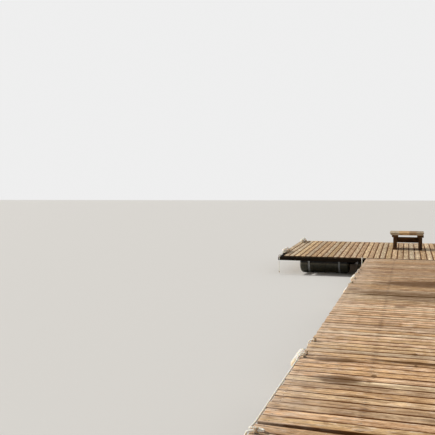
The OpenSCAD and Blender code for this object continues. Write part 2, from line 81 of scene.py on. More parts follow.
# Timbers under the boards
BEAM_W = 0.06
BEAM_H = 0.08
OVERHANG = 0.04
INNER_X = 0.48
OUTER_X = BAY_W / 2 - OVERHANG - BEAM_W / 2
STRINGERS_X = (-OUTER_X, -INNER_X, INNER_X, OUTER_X)
JOISTS_Y = (0.35, 0.95, 1.8, 2.65, 3.25)
FRAME_TOP = -BOARD_T
BEAM_MID = -BOARD_T - BEAM_H / 2

# Nails: two over each timber, NAIL_T to either side of a board's middle
NAIL_R = 0.0047
NAIL_T = 0.036
NAIL_SCATTER = 0.003
WALKWAY_SCATTER = 0.004
END_NAIL = 0.022
PLATFORM_NAILS_Y = (END_NAIL,) + JOISTS_Y + (PLATFORM_L - END_NAIL,)
BENCH_NAIL_R = 0.006
BENCH_NAIL_T = 0.05
BENCH_NAIL_SUNK = 0.0006

# Bolts of the couplings
FLANGE_T = 0.008
BOLT_R = 0.012
BOLT_H = 0.010
BOLT_CHAMFER = 0.002
BOLT_X = 0.065
BOLT_Z = 0.022
WASHER_R = 0.016
WASHER_T = 0.0025

# Bench
BENCH_X = -0.175
BENCH_Y = 2.10
BENCH_L = 0.89
BENCH_D = 0.60
BENCH_H = 0.47
SEAT_PLANKS = 3
SEAT_T = 0.068
SEAT_GAP = 0.014
SEAT_BEVEL = 0.030
SEAT_SHIFT = 0.022
LEG_PARTS = 3
LEG_SEAM = 0.001
LEG_T = 0.095
LEG_INSET = 0.115
LEG_SETBACK = 0.035
CLEAT_W = 0.165
CLEAT_H = 0.060
STRETCHER_H = 0.15
STRETCHER_T = 0.034
STRETCHER_Z = 0.175

# Fenders. FENDER_SPAN is from the middle of one eye to the middle of the other.
FENDER_R = 0.058
FENDER_L = 0.61
EYE_R = 0.022
EYE_T = 0.008
FENDER_SPAN = FENDER_L - 2 * (EYE_R + EYE_T)
FENDER_DRAWN_R = FENDER_R - HAIR
HANG_GAP = 0.002
HANG_X = BAY_W / 2 + FENDER_R + HANG_GAP
RIB_H = 0.0016
RIB_W = 0.004
RIB_PITCH = 0.014
FIRST_RIB = 0.012

# Walkway fenders: bay, start along it and depth under the deck
WALK_FENDERS = ((1, BAY_L - 0.725, 0.120), (2, 1.795, 0.120), (3, 1.155, 0.185), (3, 2.590, 0.140))
# Fenders that lie on the platform: distance from its middle line and start
FRONT_LYING = (PLATFORM_HALF - FENDER_R, 0.430)
BACK_LYING = (PLATFORM_HALF - FENDER_R - 0.060, 2.925)

# Ropes. The lay is in radii of the rope, and a rope is thinner where it is pulled into a knot.
ROPE_R = 0.007
HEAVY_ROPE_R = 0.011
EDGE_ROPE_R = 0.0085
ROPE_LAY = 7.0
STRAND_DEPTH = 0.20
PULLED = 0.85
PLATE_INSET = 0.048
PLATE_HOLE_Z = 0.020
PLATE_KNOT_R = 0.026
EYE_KNOT_R = 0.0165
END_KNOT_R = 0.0165
RING_KNOT_R = 0.0205
HEAVY_KNOT_R = 0.022

# Routes of the mooring ropes in the frame of the platform
CORNER_ROUTE = ((-3.328, 0.430, 0.058), (-3.319, 0.430, 0.058), (-3.310, 0.430, 0.058),
                (-3.301, 0.430, 0.058), (-3.286, 0.426, 0.058), (-3.275, 0.415, 0.057),
                (-3.271, 0.400, 0.056), (-3.273, 0.360, 0.052), (-3.300, 0.200, 0.029),
                (-3.326, 0.076, 0.0125), (-3.334, 0.004, 0.009), (-3.334, -0.014, 0.0025),
                (-3.334, -0.034, -0.012), (-3.334, -0.046, -0.036), (-3.334, -0.050, -0.080),
                (-3.334, -0.054, -0.200), (-3.334, -0.061, -0.396), (-3.334, -0.061, -0.408),
                (-3.334, -0.061, -0.418), (-3.334, -0.061, -0.428), (-3.334, -0.061, -0.444))
INNER_ROPE_X = -1.250
INNER_POINTS = ((-0.002, -0.007), (-0.006, -0.007), (-0.0125, -0.007), (-0.020, -0.007), (-0.046, -0.013),
                (-0.064, -0.031), (-0.071, -0.057), (-0.073, -0.120), (-0.078, -0.260), (-0.083, -0.388),
                (-0.083, -0.402), (-0.083, -0.414), (-0.083, -0.426), (-0.083, -0.444))
INNER_ROUTE = tuple((INNER_ROPE_X, y, z) for y, z in INNER_POINTS)

# Route of the edge rope in the frame of bay 2. Its x starts at the ends of the boards.
EDGE_POINTS = ((-0.084, -0.215, -0.120), (-0.074, -0.215, -0.120), (-0.064, -0.215, -0.120),
               (-0.055, -0.215, -0.120), (-0.047, -0.215, -0.114), (-0.042, -0.215, -0.100),
               (-0.034, -0.215, -0.060), (-0.020, -0.215, -0.014), (-0.012, -0.215, 0.004),
               (0.0, -0.215, 0.010), (0.039, -0.215, 0.020), (0.048, -0.215, 0.020), (0.057, -0.215, 0.020),
               (0.074, -0.211, 0.018), (0.088, -0.196, 0.014), (0.090, -0.176, 0.010), (0.080, -0.158, 0.008),
               (0.056, -0.150, 0.008), (0.012, -0.149, 0.009), (-0.006, -0.144, 0.007),
               (-0.014, -0.126, -0.001), (-0.012, -0.080, -0.007), (-0.0085, -0.020, -0.009),
               (-0.0075, 0.040, -0.009), (-0.0075, 0.900, -0.008), (-0.008, 1.600, -0.006),
               (-0.008, 1.636, 0.002), (0.0, 1.668, 0.012), (0.018, 1.688, 0.018), (0.038, 1.699, 0.020),
               (0.048, 1.700, 0.020), (0.058, 1.700, 0.020))
EDGE_ROUTE = tuple((x - BAY_W / 2, y, z) for x, y, z in EDGE_POINTS)

# Camera: its place from the second bay's first board, direction in degrees, and lens
CAMERA_X = -0.20
CAMERA_UP = 1.5
CAMERA_BACK = 3.88
CAMERA_YAW = 17.53
CAMERA_PITCH = -1.91
CAMERA_LENS = 49.66

# Light and floor
SUN_STRENGTH = 3.1
SUN_SIZE = 1.5
SUN_COLOUR = (1.0, 0.95, 0.88)
SUN_RAYS = (0.87, -0.09, -0.485)
SKY_STRENGTH = 0.365
SKY_COLOUR = (1.0, 0.985, 0.965, 1)
SEEN_SKY = (0.86, 0.86, 0.86, 1)
FLOOR_COLOUR = (0.80, 0.80, 0.79, 1)
FLOOR_HALF = 400.0

# Height of the water over the ground
WATERLINE = 0.262

# Damp marks on the deck, from the middle of the second bay's first edge: place across and along the
# walkway, half size across and along, and depth of tone
MARKS = ((-0.82, 1.69, 0.26, 0.10, 0.9), (-0.05, 1.79, 0.55, 0.06, 1.0), (-0.73, 1.10, 0.24, 0.14, 0.9),
         (-0.11, 2.11, 0.04, 0.05, 0.9), (-0.45, 1.28, 0.03, 0.06, 0.8), (-0.11, 1.70, 0.02, 0.05, 0.8),
         (0.25, 7.10, 1.05, 0.50, 0.9), (-0.25, 5.79, 0.95, 0.30, 0.55), (0.10, 5.46, 0.95, 0.36, 0.5),
         (-0.28, 4.67, 0.09, 0.14, 0.6), (-1.05, 6.20, 0.14, 0.30, 0.55), (0.0, 9.3, 2.6, 2.2, 0.2),
         (-0.2, 6.4, 1.8, 1.0, 0.3))

deck_low, deck_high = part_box("deck_bay_2")
DECK_Z = deck_high.z
DECK_Y = deck_low.y
JOINT_Y = DECK_Y - BAY_GAP / 2


def shift(x, y, z):
    return Matrix.Translation((x, y, z))


def turn(degrees, axis):
    return Matrix.Rotation(math.radians(degrees), 4, axis)


def bay_frame(i):
    """Frame of a bay: y = 0 at its shore end, z = 0 on its boards."""
    if i == 1:
        return shift(0, JOINT_Y, DECK_Z) @ turn(-SHORE_YAW, "Z") @ shift(0, BAY_GAP / 2 - BAY_STEP, 0)
    return shift(0, JOINT_Y + (i - 2) * BAY_STEP + BAY_GAP / 2, DECK_Z)


# Frames of the sections, the mirror for what is on both sides, and the turn that lays Z along Y
BAYS = {i: bay_frame(i) for i in (1, 2, 3)}
PLATFORM = (shift(0, JOINT_Y + 2 * BAY_STEP, DECK_Z + BEAM_MID) @ turn(TRIM, "X")
            @ shift(0, PROUD + BAY_GAP / 2, -BEAM_MID))
MIRROR = Matrix.Diagonal((-1, 1, 1, 1))
LENGTHWAYS = Matrix(((0, 1, 0, 0), (0, 0, 1, 0), (1, 0, 0, 0), (0, 0, 0, 1)))


def srgb(r, g, b):
    """Linear colour of a screen colour given from 0 to 255."""
    linear = (((c / 255 + 0.055) / 1.055) ** 2.4 if c > 10 else c / 255 / 12.92 for c in (r, g, b))
    return tuple(linear) + (1.0,)


# Colours of the deck
WHITE = (1.0, 1.0, 1.0, 1.0)
TAN = srgb(244, 202, 152)
CREAM = srgb(255, 231, 196)
OLIVE = srgb(234, 206, 150)
PINK = srgb(252, 212, 180)
GREY = srgb(228, 199, 166)
BROWN = srgb(158, 110, 66)
BLEACHED = srgb(255, 232, 208)
CHECK = srgb(78, 48, 24)
# Dirt and painted shade for the boards' sides and edges
EDGE_DIRT_AND_SHADE = srgb(116, 70, 24)
RUST_STAIN = srgb(96, 60, 34)
DAMP = srgb(98, 64, 24)
BROWN_SHADE = (0.37, 0.225, 0.11, 1.0)
WALKWAY_ENDS = srgb(166, 132, 96)
# The platform's board ends are coloured near black-brown, a painted shade
SHADED_PLATFORM_ENDS = srgb(64, 48, 33)
PLATFORM_TINT = (0.93, 1.0, 1.03, 1.0)

# Colours of the frame and the bench
# Frame timbers: dark damp wood, made darker still as a painted shade under the deck
SHADED_FRAME_PALE, SHADED_FRAME_DARK = srgb(38, 28, 18), srgb(18, 13, 8)
SADDLE_LIGHT, SADDLE_DARK = srgb(104, 84, 60), srgb(60, 46, 33)
BENCH_LIGHT, BENCH_DARK = srgb(118, 84, 50), srgb(58, 40, 25)
DARK_CHECK = srgb(30, 21, 14)
SEAT_WHITE = srgb(222, 204, 174)
SEAT_TAN = srgb(226, 186, 134)
SEAT_BROWN = srgb(168, 134, 96)
SEAT_GREY = srgb(188, 168, 140)
SEAT_WORN = srgb(104, 78, 52)
SEAT_CHECK = srgb(58, 42, 28)

# Colours of steel, plastic, rubber and rope
ZINC_DARK, ZINC_LIGHT = srgb(136, 139, 140), srgb(176, 178, 177)
NAIL_DARK, NAIL_LIGHT = srgb(96, 88, 80), srgb(128, 118, 106)
EYE_DARK, EYE_LIGHT = srgb(150, 142, 130), srgb(192, 186, 174)
RUST = srgb(98, 58, 34)
# Float colours: black plastic and slime, made darker still as a painted shade
FLOAT_BLACK, FLOAT_DUST = srgb(34, 36, 38), srgb(58, 57, 53)
SLIME_DARK, SLIME_LIGHT = srgb(38, 38, 24), srgb(66, 61, 38)
SCUM = srgb(126, 118, 98)
RUBBER_BLACK, RUBBER_SCUFF = srgb(30, 30, 31), srgb(72, 70, 67)
VINYL_WHITE, VINYL_DULL = srgb(240, 236, 226), srgb(228, 220, 203)
VINYL_YELLOW = srgb(222, 184, 124)
VINYL_SMEAR = srgb(106, 94, 72)
ROPE_WHITE, ROPE_DULL = srgb(252, 249, 240), srgb(228, 220, 204)
ROPE_GRIME = srgb(190, 174, 146)
KNOT_DIRT_AND_SHADE = srgb(176, 144, 104)
ROPE_VALLEY_DIRT_AND_SHADE = srgb(120, 98, 70)

# Tone of a piece without its own, and of a knot, where rope has dirt and painted shade
PLAIN_TONE = (0.5, 0.5, 0.5)
KNOT_TONE = (0.5, 0.5, 0.0)

# Materials


class Nodes:
    """A node tree that takes each node with its values or links."""

    def __init__(self, tree):
        self.tree = tree

    def feed(self, node, values):
        for key, value in values.items():
            if isinstance(value, bpy.types.NodeSocket):
                self.tree.links.new(value, node.inputs[key])
            else:
                node.inputs[key].default_value = value

    def node(self, kind, values, out=0, **settings):
        made = self.tree.nodes.new("ShaderNode" + kind)
        for key, value in settings.items():
            setattr(made, key, value)
        self.feed(made, values)
        return made.outputs[out] if made.outputs else None

    def math(self, operation, a, b=0.0):
        return self.node("Math", {0: a, 1: b}, operation=operation)


class Paint(Nodes):
    """A material, its nodes and its colour so far. A mask is a value from 0 to 1."""

    def __init__(self, name, roughness=0.8, metallic=0.0, specular=0.5):
        self.material = bpy.data.materials.new(name)
        self.material.use_nodes = True
        super().__init__(self.material.node_tree)
        self.shader = self.tree.nodes["Principled BSDF"]
        self.give({"Roughness": roughness, "Metallic": metallic, "Specular IOR Level": specular})
        self.colour = WHITE

    def give(self, values):
        self.feed(self.shader, values)

    def let_light_in(self, weight, depth):
        self.give({"Subsurface Weight": weight, "Subsurface Scale": depth,
                   "Subsurface Radius": (1.0, 0.85, 0.65)})

    def place(self):
        return self.node("TexCoord", {}, out="Object")

    def attribute(self, name):
        return self.node("Attribute", {}, out="Vector", attribute_name=name)

    def part(self, vector, axis):
        return self.node("SeparateXYZ", {0: vector}, out=axis)

    def stretch(self, vector, scale):
        return self.node("VectorMath", {0: vector, 1: scale}, operation="MULTIPLY")

    def noise(self, vector, scale, detail=3.0, rough=0.5, twist=0.0):
        return self.node("TexNoise", {"Vector": vector, "Scale": scale, "Detail": detail, "Roughness": rough,
                                      "Distortion": twist}, out="Fac")

    def streaks(self, vector, along, across, detail=3.0, rough=0.5, twist=0.0, through=1.0):
        """Noise with its own scale along each axis."""
        return self.noise(self.stretch(vector, (along, across, through)), 1.0, detail, rough, twist)

    def plus(self, a, b):
        return self.math("ADD", a, b)

    def minus(self, a, b):
        return self.math("SUBTRACT", a, b)

    def times(self, a, b):
        return self.math("MULTIPLY", a, b)

    def unsigned(self, a):
        return self.math("ABSOLUTE", a)

    def step(self, value, low, high, out_low=0.0, out_high=1.0):
        return self.node("MapRange", {"Value": value, "From Min": low, "From Max": high, "To Min": out_low,
                                      "To Max": out_high}, interpolation_type="SMOOTHSTEP")

    def roughen(self, noise, least, most):
        self.give({"Roughness": self.step(noise, 0.3, 0.7, least, most)})

    def mix(self, a, b, factor, kind="MIX"):
        return self.node("Mix", {0: factor, 6: a, 7: b}, out=2, data_type="RGBA", blend_type=kind)

    def cover(self, over, mask, share):
        """Lays a colour over the rest where a mask says, up to a share."""
        self.colour = self.mix(self.colour, over, self.times(mask, share))

    def coats(self, *coats):
        """Lays on coats: (colour, noise, where it starts and is full on it, share)."""
        for over, noise, start, full, share in coats:
            self.cover(over, self.step(noise, start, full), share)

    def grey(self, value):
        return self.node("CombineColor", {0: value, 1: value, 2: value})

    def tint(self, by):
        self.colour = self.mix(self.colour, by, 1.0, "MULTIPLY")

    def lighten(self, *limits):
        self.tint(self.grey(self.step(*limits)))

    def deepen(self, *limits):
        """Darkens towards brown where a step is under 1."""
        self.tint(self.mix(BROWN_SHADE, WHITE, self.step(*limits)))

    def finish(self, height, distance, strength=1.0):
        bump = self.node("Bump", {"Strength": strength, "Distance": distance, "Height": height})
        self.give({"Base Color": self.colour, "Normal": bump})
        return self.material


def grain_of(paint, vector, contrast):
    """Shade, open checks and height of sawn wood, whose grain runs along the vector's X."""
    fibre = paint.streaks(vector, 5.0, 190.0, detail=4.0, rough=0.65)
    streak = paint.streaks(vector, 1.3, 42.0, rough=0.6, twist=0.4)
    checks = paint.step(paint.streaks(vector, 2.4, 120.0, rough=0.55), 0.62, 0.66)
    shade = paint.times(paint.step(fibre, 0.34, 0.66, 1 - 0.28 * contrast, 1 + 0.12 * contrast),
                        paint.step(streak, 0.3, 0.72, 1 - 0.26 * contrast, 1 + 0.13 * contrast))
    ridges = paint.plus(paint.times(fibre, 0.45), paint.times(streak, 0.8))
    height = paint.minus(ridges, paint.times(checks, 0.9))
    return shade, checks, height


def wood_knots(paint, vector):
    """Where a board has a knot: round dark spots here and there."""
    cells = {"Vector": paint.stretch(vector, (3.0, 4.4, 1.0)), "Scale": 1.0}
    near = paint.node("TexVoronoi", cells, out="Distance")
    chosen = paint.part(paint.node("TexVoronoi", cells, out="Color"), "X")
    return paint.times(paint.step(near, 0.062, 0.03), paint.step(chosen, 0.60, 0.62))


def nail_rust(paint, vector, nail_runs):
    """Rust run along the grain from nails at some distances from a board's middle."""
    along = paint.unsigned(paint.part(vector, "X"))
    across = paint.unsigned(paint.minus(paint.unsigned(paint.part(vector, "Y")), NAIL_T))
    nearest = None
    for run in nail_runs:
        away = paint.unsigned(paint.minus(along, run))
        nearest = away if nearest is None else paint.math("MINIMUM", nearest, away)
    stain_l, stain_w = 0.045, 0.011
    reach = paint.plus(paint.math("POWER", paint.math("DIVIDE", nearest, stain_l), 2.0),
                       paint.math("POWER", paint.math("DIVIDE", across, stain_w), 2.0))
    return paint.step(reach, 1.0, 0.05)


def damp_marks(paint, marks):
    """Damp and dirty marks with ragged edges on the walkway's deck."""
    place = paint.place()
    fine = paint.streaks(place, 5.0, 16.0, detail=4.0, rough=0.7)
    broad = paint.streaks(place, 1.6, 3.6, rough=0.6)
    ragged = paint.plus(paint.times(fine, 0.55), paint.times(broad, 0.45))
    for x, y, half_x, half_y, depth in marks:
        offset = paint.node("VectorMath", {0: place, 1: (x, DECK_Y + y, DECK_Z)}, operation="SUBTRACT")
        scaled = paint.stretch(offset, (1 / half_x, 1 / half_y, 1.0))
        away = paint.node("VectorMath", {0: scaled}, out="Value", operation="LENGTH")
        damp = paint.step(paint.plus(away, paint.times(ragged, 1.6)), 1.90, 1.30)
        paint.cover(DAMP, damp, depth)


def deck_wear(paint, vector):
    """Noises for the wear of the deck."""
    return {"patch": paint.streaks(vector, 1.6, 11.0, rough=0.6),
            "blotch": paint.streaks(vector, 5.0, 15.0, detail=4.0, rough=0.75, twist=0.6),
            "flake": paint.streaks(vector, 9.0, 30.0, rough=0.7),
            "lick": paint.streaks(vector, 6.0, 34.0, detail=5.0, rough=0.68, twist=0.3),
            "mottle": paint.streaks(vector, 7.0, 10.0, detail=5.0, rough=0.66)}


def board_colour(paint, vector, wear, shade):
    """Weathered wood of a board, by its tone and wear. One long edge is a little darker, a painted shade."""
    warm, kind, light = (paint.part(paint.attribute("tone"), axis) for axis in "XYZ")
    paint.colour = paint.mix(TAN, CREAM, paint.step(warm, 0.2, 0.8))
    paint.coats((OLIVE, kind, 0.7, 0.95, 0.35), (PINK, kind, 0.5, 0.1, 0.35),
                (GREY, wear["patch"], 0.46, 0.66, 0.5), (BROWN, wear["blotch"], 0.52, 0.70, 0.75),
                (BLEACHED, wear["flake"], 0.52, 0.66, 0.75))
    paint.tint(paint.grey(shade))
    paint.deepen(wear["lick"], 0.37, 0.54, 0.48, 1.0)
    paint.deepen(wear["mottle"], 0.34, 0.52, 0.66, 1.0)
    paint.lighten(wear["mottle"], 0.46, 0.64, 1.0, 1.19)
    paint.deepen(light, 0.0, 0.5, 0.74, 1.0)
    paint.lighten(light, 0.4, 1.0, 1.02, 1.24)
    # Painted shade: each board darkens towards one long edge
    paint.deepen(paint.part(vector, "Y"), BOARD_W / 2, -BOARD_W / 2, 1.0, 0.80)


def edge_dirt_and_shade(paint, vector, start, full):
    """Dirt and painted shade on the sides of a board, seen in the gaps, and along its edges."""
    wander = paint.times(paint.streaks(vector, 2.5, 3.0, detail=5.0, rough=0.7), 0.035)
    edge = paint.plus(paint.unsigned(paint.part(vector, "Y")), wander)
    paint.cover(EDGE_DIRT_AND_SHADE, paint.step(edge, BOARD_W / 2 + start, BOARD_W / 2 + full), 0.95)


def bleached_ends(paint, vector, wear):
    """Ends bleached by the sun, at the left of the walkway."""
    end = paint.plus(paint.part(vector, "X"), paint.times(wear["patch"], 0.9))
    paint.cover(BLEACHED, paint.step(end, -0.2, -0.85), paint.step(wear["flake"], 0.35, 0.6, 0.05, 0.55))


def sawn_ends(paint, axis, tone):
    """Speckled end grain on the faces that look along an axis, in the given colour, which on the platform is
    a painted shade.
    """
    speckle = paint.step(paint.noise(paint.place(), 110.0, 4.0, 0.7), 0.34, 0.66, 0.68, 1.2)
    end_grain = paint.mix(tone, paint.grey(speckle), 1.0, "MULTIPLY")
    facing = paint.unsigned(paint.part(paint.node("NewGeometry", {}, out="Normal"), axis))
    paint.cover(end_grain, paint.step(facing, 0.6, 0.9), 0.92)


def deck_wood(name, nail_runs, end_axis, end_tone_and_shade, dirt_and_shade_start, tint=WHITE, bleached=False, marks=()):
    """Sawn deck boards with their own tones, edges darkened by dirt and painted shade, and rust round the
    nails.
    """
    paint = Paint(name, roughness=0.85, specular=0.25)
    vector = paint.attribute("grain")
    shade, checks, height = grain_of(paint, vector, 1.0)
    wear = deck_wear(paint, vector)
    board_colour(paint, vector, wear, shade)
    paint.cover(CHECK, checks, 0.8)
    paint.cover(CHECK, wood_knots(paint, vector), 0.85)
    paint.tint(tint)
    # Dirt and painted shade along the boards' sides and edges
    edge_dirt_and_shade(paint, vector, dirt_and_shade_start, 0.011)
    rust_share = paint.step(wear["blotch"], 0.35, 0.6, 0.25, 0.75)
    paint.cover(RUST_STAIN, nail_rust(paint, vector, nail_runs), rust_share)
    damp_marks(paint, marks)
    if bleached:
        bleached_ends(paint, vector, wear)
    sawn_ends(paint, end_axis, end_tone_and_shade)
    paint.roughen(wear["patch"], 0.80, 0.94)
    return paint.finish(height, 0.0022)


def plain_wood(name, light, dark, from_place=False, specular=0.25):
    """Sawn timber with its grain along each piece."""
    paint = Paint(name, roughness=0.85, specular=specular)
    vector = paint.place() if from_place else paint.attribute("grain")
    shade, checks, height = grain_of(paint, vector, 1.2)
    patch = paint.streaks(vector, 2.4, 8.0, detail=4.0, rough=0.65, through=2.0)
    paint.colour = paint.mix(light, dark, paint.step(patch, 0.34, 0.64))
    paint.tint(paint.grey(shade))
    paint.cover(DARK_CHECK, checks, 0.7)
    return paint.finish(height, 0.002)


def seat_wood():
    """Seat of the bench: bands of white, tan, brown and grey along it."""
    paint = Paint("seat_wood", roughness=0.8, specular=0.3)
    vector = paint.attribute("grain")
    shade, checks, height = grain_of(paint, vector, 1.1)
    band = paint.streaks(vector, 7.0, 9.0, rough=0.6)
    along = paint.plus(paint.part(vector, "X"), paint.times(band, 0.16))
    worn = paint.streaks(vector, 9.0, 24.0, detail=4.0, rough=0.7, through=2.0)
    paint.colour = SEAT_WHITE
    paint.coats((SEAT_TAN, along, -0.16, -0.08, 1.0), (SEAT_BROWN, along, 0.12, 0.18, 1.0),
                (SEAT_GREY, along, 0.30, 0.38, 1.0), (SEAT_WORN, worn, 0.54, 0.66, 0.7))
    paint.tint(paint.grey(shade))
    paint.cover(SEAT_CHECK, checks, 0.75)
    return paint.finish(height, 0.0018)


def float_plastic():
    """Black plastic, dusty over the waterline and slimy under it, all made darker still as a painted shade
    under the platform.
    """
    paint = Paint("float_plastic", roughness=0.55)
    place = paint.place()
    mottle = paint.noise(place, 9.0, 5.0, 0.7)
    line = paint.plus(paint.part(place, "Z"), paint.times(mottle, 0.05))
    under = paint.step(line, WATERLINE + 0.035, WATERLINE + 0.015)
    scum = paint.times(under, paint.step(line, WATERLINE - 0.035, WATERLINE + 0.01))
    slime = paint.mix(SLIME_DARK, SLIME_LIGHT, paint.step(paint.noise(place, 28.0, 4.0, 0.7), 0.4, 0.65))
    paint.colour = paint.mix(FLOAT_BLACK, FLOAT_DUST, paint.step(mottle, 0.35, 0.7))
    paint.cover(slime, under, 0.85)
    paint.cover(SCUM, scum, 0.5)
    paint.roughen(mottle, 0.42, 0.72)
    return paint.finish(paint.noise(place, 160.0, 2.0, 0.5), 0.0006, 0.6)


def zinc(name, rusted, dark, light):
    """Galvanised steel with dull spangle and some rust."""
    metallic = 0.85
    paint = Paint(name, roughness=0.5, metallic=metallic)
    place = paint.place()
    spangle = paint.part(paint.node("TexVoronoi", {"Vector": place, "Scale": 110.0}, out="Color"), "X")
    dirt = paint.noise(place, 22.0, 5.0, 0.7)
    rust = paint.times(paint.step(dirt, 0.60 - 0.12 * rusted, 0.74), rusted)
    paint.colour = paint.mix(paint.mix(dark, light, spangle), RUST, rust)
    paint.give({"Metallic": paint.minus(metallic, paint.times(rust, 0.8))})
    paint.roughen(dirt, 0.38, 0.7)
    return paint.finish(paint.plus(spangle, paint.times(rust, 2.0)), 0.0004, 0.5)


def rubber():
    """Black buffer rubber, scuffed grey."""
    paint = Paint("buffer_rubber", roughness=0.8)
    scuff = paint.noise(paint.place(), 30.0, 5.0, 0.75)
    paint.colour = paint.mix(RUBBER_BLACK, RUBBER_SCUFF, paint.step(scuff, 0.5, 0.72))
    return paint.finish(scuff, 0.0012)


def vinyl():
    """White vinyl, yellowed at one end. The grain's X says how far along a fender a point is."""
    paint = Paint("fender_vinyl", roughness=0.35, specular=0.35)
    along = paint.part(paint.attribute("grain"), "X")
    place = paint.place()
    dirt = paint.noise(place, 18.0, 5.0, 0.7)
    end = paint.plus(along, paint.times(dirt, 0.25))
    paint.colour = VINYL_WHITE
    paint.coats((VINYL_DULL, dirt, 0.35, 0.65, 1.0), (VINYL_YELLOW, end, 0.30, 0.14, 0.85),
                (VINYL_SMEAR, dirt, 0.60, 0.72, 0.45))
    paint.let_light_in(0.7, 0.08)
    paint.roughen(dirt, 0.28, 0.6)
    return paint.finish(paint.noise(place, 60.0, 3.0, 0.6), 0.0008, 0.5)


def rope_fibre():
    """White rope, darkened by dirt and painted shade in its knots and between its strands, where the grain's
    Z is low.
    """
    paint = Paint("rope_fibre", roughness=0.9, specular=0.2)
    vector = paint.attribute("grain")
    hair = paint.streaks(vector, 260.0, 900.0, rough=0.7)
    grime = paint.noise(paint.place(), 14.0, 4.0, 0.7)
    knot_dirt_and_shade = paint.step(paint.part(paint.attribute("tone"), "Z"), 0.5, 0.0)
    valley = paint.step(paint.part(vector, "Z"), 0.40, 0.0)
    paint.colour = ROPE_WHITE
    paint.coats((ROPE_DULL, hair, 0.35, 0.7, 1.0), (ROPE_GRIME, grime, 0.5, 0.72, 0.5))
    # Knots darker brown: dirt and painted shade
    paint.cover(KNOT_DIRT_AND_SHADE, knot_dirt_and_shade, paint.step(grime, 0.35, 0.55, 0.45, 0.85))
    # Dirt and painted shade in the valleys between the strands
    paint.cover(ROPE_VALLEY_DIRT_AND_SHADE, valley, 0.55)
    paint.let_light_in(0.5, 0.015)
    return paint.finish(hair, 0.0005)


# Meshes


def set_down(name, data):
    thing = bpy.data.objects.new(name, data)
    bpy.context.scene.collection.objects.link(thing)
    return thing


class Pile:
    """Gathers solids into one piece, with the grain and tone of each point."""

    def __init__(self):
        self.points, self.faces, self.grain, self.tone = [], [], [], []
        self.count = 0

    def add(self, points, faces, grain, place=Matrix(), tone=PLAIN_TONE):
        rotation = np.asarray(place.to_3x3())
        moved = np.asarray(points) @ rotation.T + np.asarray(place.translation)
        if place.to_3x3().determinant() < 0:
            faces = [face[::-1] for face in faces]
        self.points.append(moved)
        self.faces += [[k + self.count for k in face] for face in faces]
        self.grain.append(np.asarray(grain))
        self.tone.append(np.tile(tone, (len(moved), 1)))
        self.count += len(moved)

    def add_plank(self, place, rng, *size, **wear):
        self.add(*plank(*size, rng, **wear), place, tone_of(rng))

    def add_plain(self, points, faces, place):
        """Adds a shape that needs no grain."""
        self.add(points, faces, np.zeros((len(points), 3)), place)

    def piece(self, name, material, slot, *replaced, smooth_angle=35.0):
        mesh = bpy.data.meshes.new(name)
        mesh.from_pydata(np.concatenate(self.points).tolist(), [], self.faces)
        for key, rows in (("grain", self.grain), ("tone", self.tone)):
            values = mesh.attributes.new(key, "FLOAT_VECTOR", "POINT")
            values.data.foreach_set("vector", np.concatenate(rows).astype(np.float32).ravel())
        mesh.materials.append(material)
        mesh.update()
        made = set_down(name, mesh)
        mesh.shade_smooth()
        if smooth_angle < 180:
            mesh.set_sharp_from_angle(angle=math.radians(smooth_angle))
        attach(made, "root")
        if replaced:
            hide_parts(*replaced)
        return made


def ring_faces(rings, sides, ends="capped"):
    """Faces of a stack of rings, with its ends capped, open or joined."""
    faces = []
    for i in range(rings if ends == "joined" else rings - 1):
        near, far = i * sides, (i + 1) % rings * sides
        for k in range(sides):
            m = (k + 1) % sides
            faces.append([near + k, near + m, far + m, far + k])
    if ends == "capped":
        faces.append(list(range(sides))[::-1])
        faces.append([(rings - 1) * sides + k for k in range(sides)])
    return faces


def circle(count):
    """Angles of evenly spaced points on a circle."""
    return np.arange(count) * 2 * math.pi / count


def plank(length, width, thick, rng, edge=0.004, spacing=0.14, cup=0.0012, wear=0.0004, slope=0.0, jag=0.0):
    """Worn plank along X, its top on z = 0. A slope draws its ends in below, a jag tears the first."""
    w = width / 2
    top_points = 7
    side = np.array([w - 0.3 * edge, w, w, w - 0.6 * edge])
    side_up = [-0.3 * edge, -edge, 0.6 * edge - thick, -thick]
    across = np.concatenate([np.linspace(-w + edge, w - edge, top_points), side, [0], -side[::-1]])
    up = np.concatenate([np.zeros(top_points), side_up, [-thick], side_up[::-1]])
    count = max(4, int(length / spacing))
    half = length / 2
    along = np.concatenate([[-half, -half + 0.5 * edge],
                            np.linspace(-half + 3 * edge, half - 3 * edge, count),
                            [half - 0.5 * edge, half]])
    rings, sides = len(along), len(across)
    x = np.tile(along[:, None], (1, sides))
    y = np.tile(across, (rings, 1))
    z = np.tile(up, (rings, 1))

    # Rounded ends
    for end in (0, -1):
        y[end] *= 1 - 0.6 * edge / w
        z[end] += np.where(z[end] > -thick / 2, -0.5 * edge, 0.5 * edge)

    # Hollow and worn top, uneven sides, torn end and sloped ends
    lowered = cup * (y / w) ** 2 + np.abs(rng.normal(0, wear, (rings, sides)))
    z -= np.where(z > -thick / 2, lowered, 0)
    y = np.clip(y + rng.normal(0, wear, (rings, sides)), -w, w)
    if jag:
        torn = jag * rng.random(sides) * (1 + 0.6 * np.sin(9 * across / w))
        x[:2] += torn
        x[2] += 0.5 * torn
    x *= 1 - slope / half * (-z / thick)

    # Grain that runs on over the sides, with its own Z for each plank
    over_side = (np.abs(across) > w - 0.5 * edge) & (up > 0.3 * edge - thick) & (up < -0.1 * edge)
    grain_y = np.where(over_side, np.sign(across) * (w - up), y)
    grain = np.stack([x, grain_y, np.full_like(x, rng.random() * 40)], axis=2)
    points = np.stack([x, y, z], axis=2)
    return points.reshape(-1, 3), ring_faces(rings, sides), grain.reshape(-1, 3)


